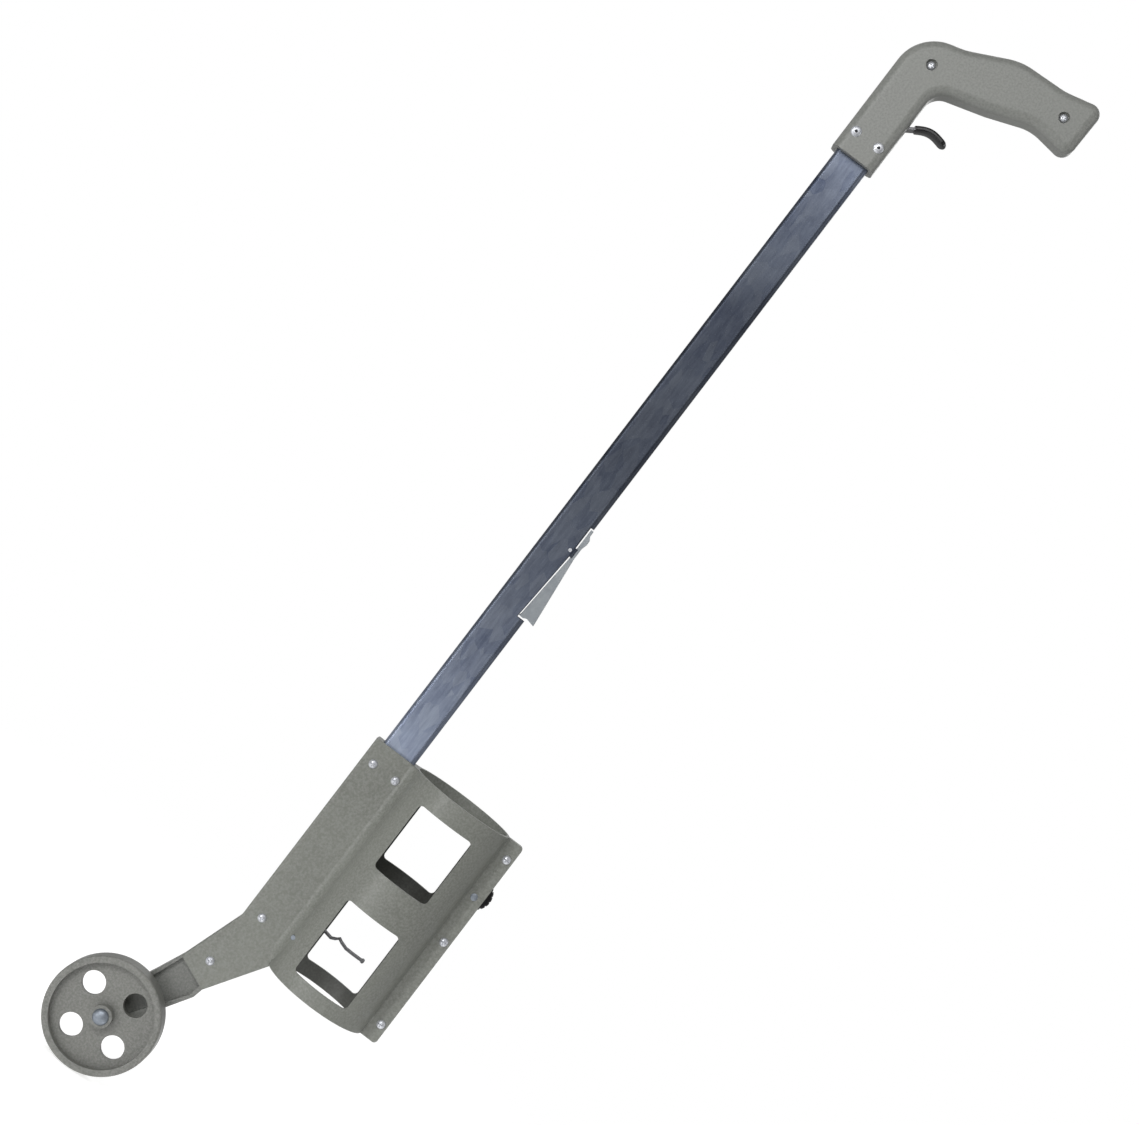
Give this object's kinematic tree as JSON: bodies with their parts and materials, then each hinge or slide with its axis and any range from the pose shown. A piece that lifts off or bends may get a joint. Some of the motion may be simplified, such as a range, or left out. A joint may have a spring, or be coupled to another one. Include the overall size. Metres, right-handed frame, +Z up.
{
  "type": "marking paint wand",
  "caption": "Pistol-grip wand with a trigger rod in a flat tube, a windowed two-shell can holder with a clamping flange, a trailing wheel and a belt clip.",
  "frame": {"origin": "on the can's axis, at the ledge in the holder that the can's shoulder rests on", "axes": "+Z up the can and the tube towards the handle, +X from the tube towards the clamping flange and the grip's tip, +Y towards the back shells; the wheel stands on the -Y side"},
  "size_m": [0.1915, 0.0726, 0.8613],
  "materials": {
    "moulded_grey": "fine-grained grey-green moulding",
    "arm_grey": "fine-grained grey-green moulding",
    "wheel_grey": "satin moulded plastic, scuffed tread",
    "grip_grey": "fine-grained grey-green moulding",
    "tube_steel": "mottled blue-grey zinc plate",
    "clip_steel": "galvanised sheet",
    "zinc": "bright zinc",
    "axle_metal": "dull grey zinc",
    "spring_steel": "plain spring steel",
    "rod_nylon": "natural nylon",
    "black_rubber": "satin black vinyl dip"
  },
  "bodies": {
    "frame": {"shaft_tube": "tube_steel", "holder_front": "moulded_grey", "holder_back": "moulded_grey", "flange_screws": "zinc", "flange_nuts": "zinc", "spine_screws": "zinc", "spine_nuts": "zinc", "arm_screws": "zinc", "arm_nuts": "zinc", "clamp_stud": "zinc", "wheel_arm": "arm_grey", "axle_bolt": "axle_metal", "axle_nut": "zinc", "axle_bushing": "zinc", "axle_washers": "wheel_grey", "handle_front": "grip_grey", "handle_back": "grip_grey", "handle_screws": "zinc", "handle_rivets": "zinc", "trigger_pin": "spring_steel", "rod_guides": "rod_nylon", "return_spring": "spring_steel", "actuator_pin": "zinc", "clip_pin": "zinc", "clip_spring": "spring_steel"},
    "trigger": {"trigger_lever": "spring_steel", "trigger_coat": "black_rubber"},
    "push_rod": {"push_rod": "spring_steel", "rod_collar": "rod_nylon"},
    "actuator": {"actuator_lever": "spring_steel"},
    "wheel": {"wheel": "wheel_grey"},
    "knob": {"clamp_knob": "black_rubber"},
    "clip": {"clip_lever": "clip_steel"}
  },
  "joints": [
    {"name": "wheel_spin", "type": "hinge", "parent": "frame", "child": "wheel", "pos_m": [-0.0973, -0.0166, -0.1544], "axis": [0, 1, 0], "continuous": true},
    {"name": "trigger_pull", "type": "hinge", "parent": "frame", "child": "trigger", "pos_m": [-0.041, 0, 0.5865], "axis": [0, -1, 0], "range_deg": [0, 11]},
    {"name": "rod_push", "type": "slide", "parent": "frame", "child": "push_rod", "axis": [0, 0, -1], "range_m": [0, 0.0018], "stiffness_N_per_m": 3960, "springref_m": -0.0028, "deforming": ["return_spring"]},
    {"name": "actuator_lift", "type": "hinge", "parent": "frame", "child": "actuator", "pos_m": [-0.0329, 0, -0.0453], "axis": [0, -1, 0], "range_deg": [0, 6.2]},
    {"name": "clip_open", "type": "hinge", "parent": "frame", "child": "clip", "pos_m": [-0.0425, 0, 0.25], "axis": [0, -1, 0], "range_deg": [0, 3], "stiffness_Nm_per_rad": 0.4, "springref_deg": -14.32},
    {"name": "knob_turn", "type": "hinge", "parent": "frame", "child": "knob", "pos_m": [0.0413, 0.022, 0.0413], "axis": [0, 1, 0], "continuous": true}
  ],
  "couplings": [
    {"joint": "trigger_pull", "follows": "rod_push", "rad_per_m": 106.38},
    {"joint": "actuator_lift", "follows": "rod_push", "rad_per_m": 57.143}
  ]
}
